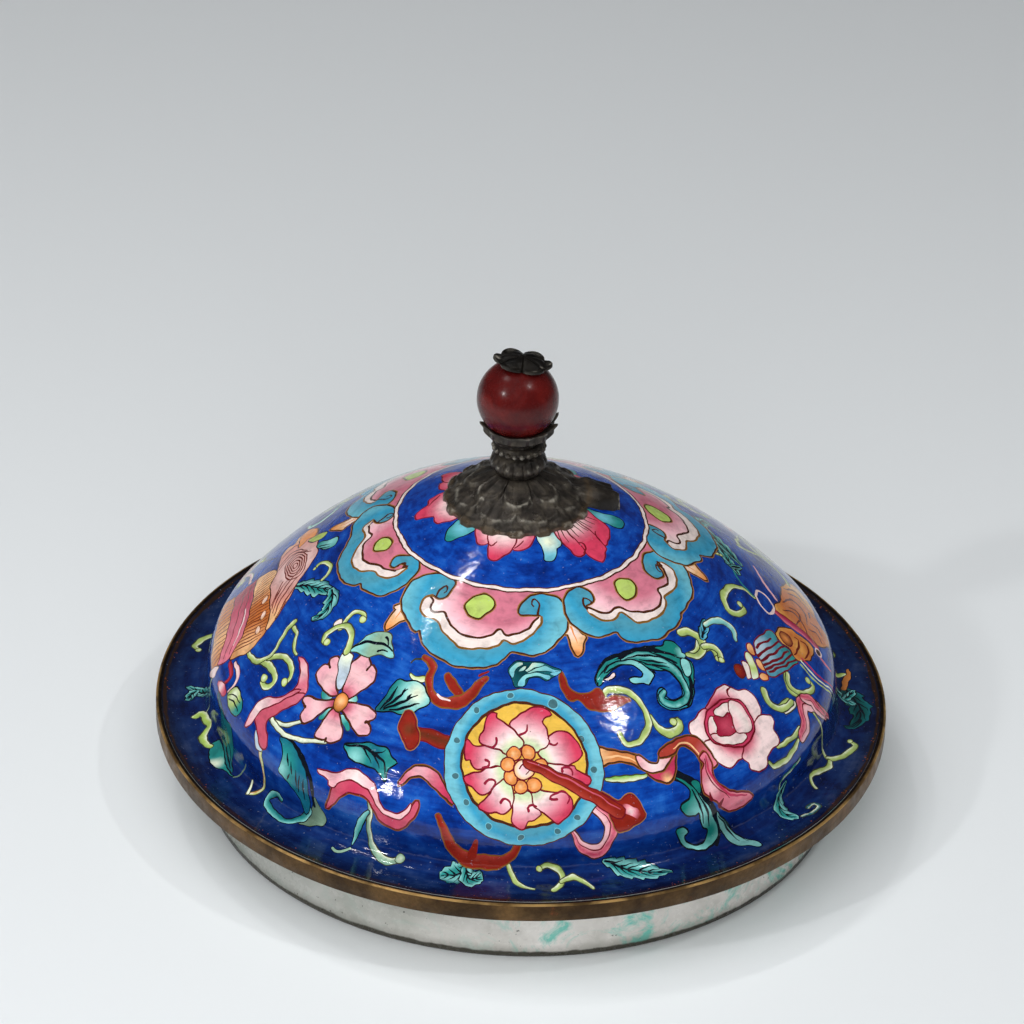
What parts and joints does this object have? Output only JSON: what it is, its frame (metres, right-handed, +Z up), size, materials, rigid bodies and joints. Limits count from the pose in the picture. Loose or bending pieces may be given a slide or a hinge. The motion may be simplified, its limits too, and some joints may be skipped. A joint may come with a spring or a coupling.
{
  "type": "domed enamel lid with beaded finial",
  "caption": "Spun, enamelled dome lid with a brass-bound brim, a fitting flange that drops inside a bowl's rim, and a metal finial that holds a red bead as its knob.",
  "frame": {"origin": "centre of the flange's underside, on the surface that the lid stands on", "axes": "+Z up along the lid's axis, through the brim's centre; -Y is the front, with the painted wheel; +X is to the right seen from the front"},
  "size_m": [0.15, 0.15, 0.0999],
  "materials": {
    "painted_enamel": "glossy fired enamel, hand painted",
    "white_enamel": "glossy white enamel with green splashes, worn to dark metal at the edge",
    "rim_brass": "worn and tarnished",
    "dark_metal": "dark brown patina, satin",
    "red_bead": "polished oxblood red"
  },
  "bodies": {
    "root": {"enamel_dome": "painted_enamel", "brass_rim_band": "rim_brass", "fitting_flange": "white_enamel", "finial_base_plate": "dark_metal", "finial_stem": "dark_metal", "finial_leaf_cup": "dark_metal", "finial_red_bead": "red_bead", "finial_flower_cap": "dark_metal"}
  },
  "joints": []
}
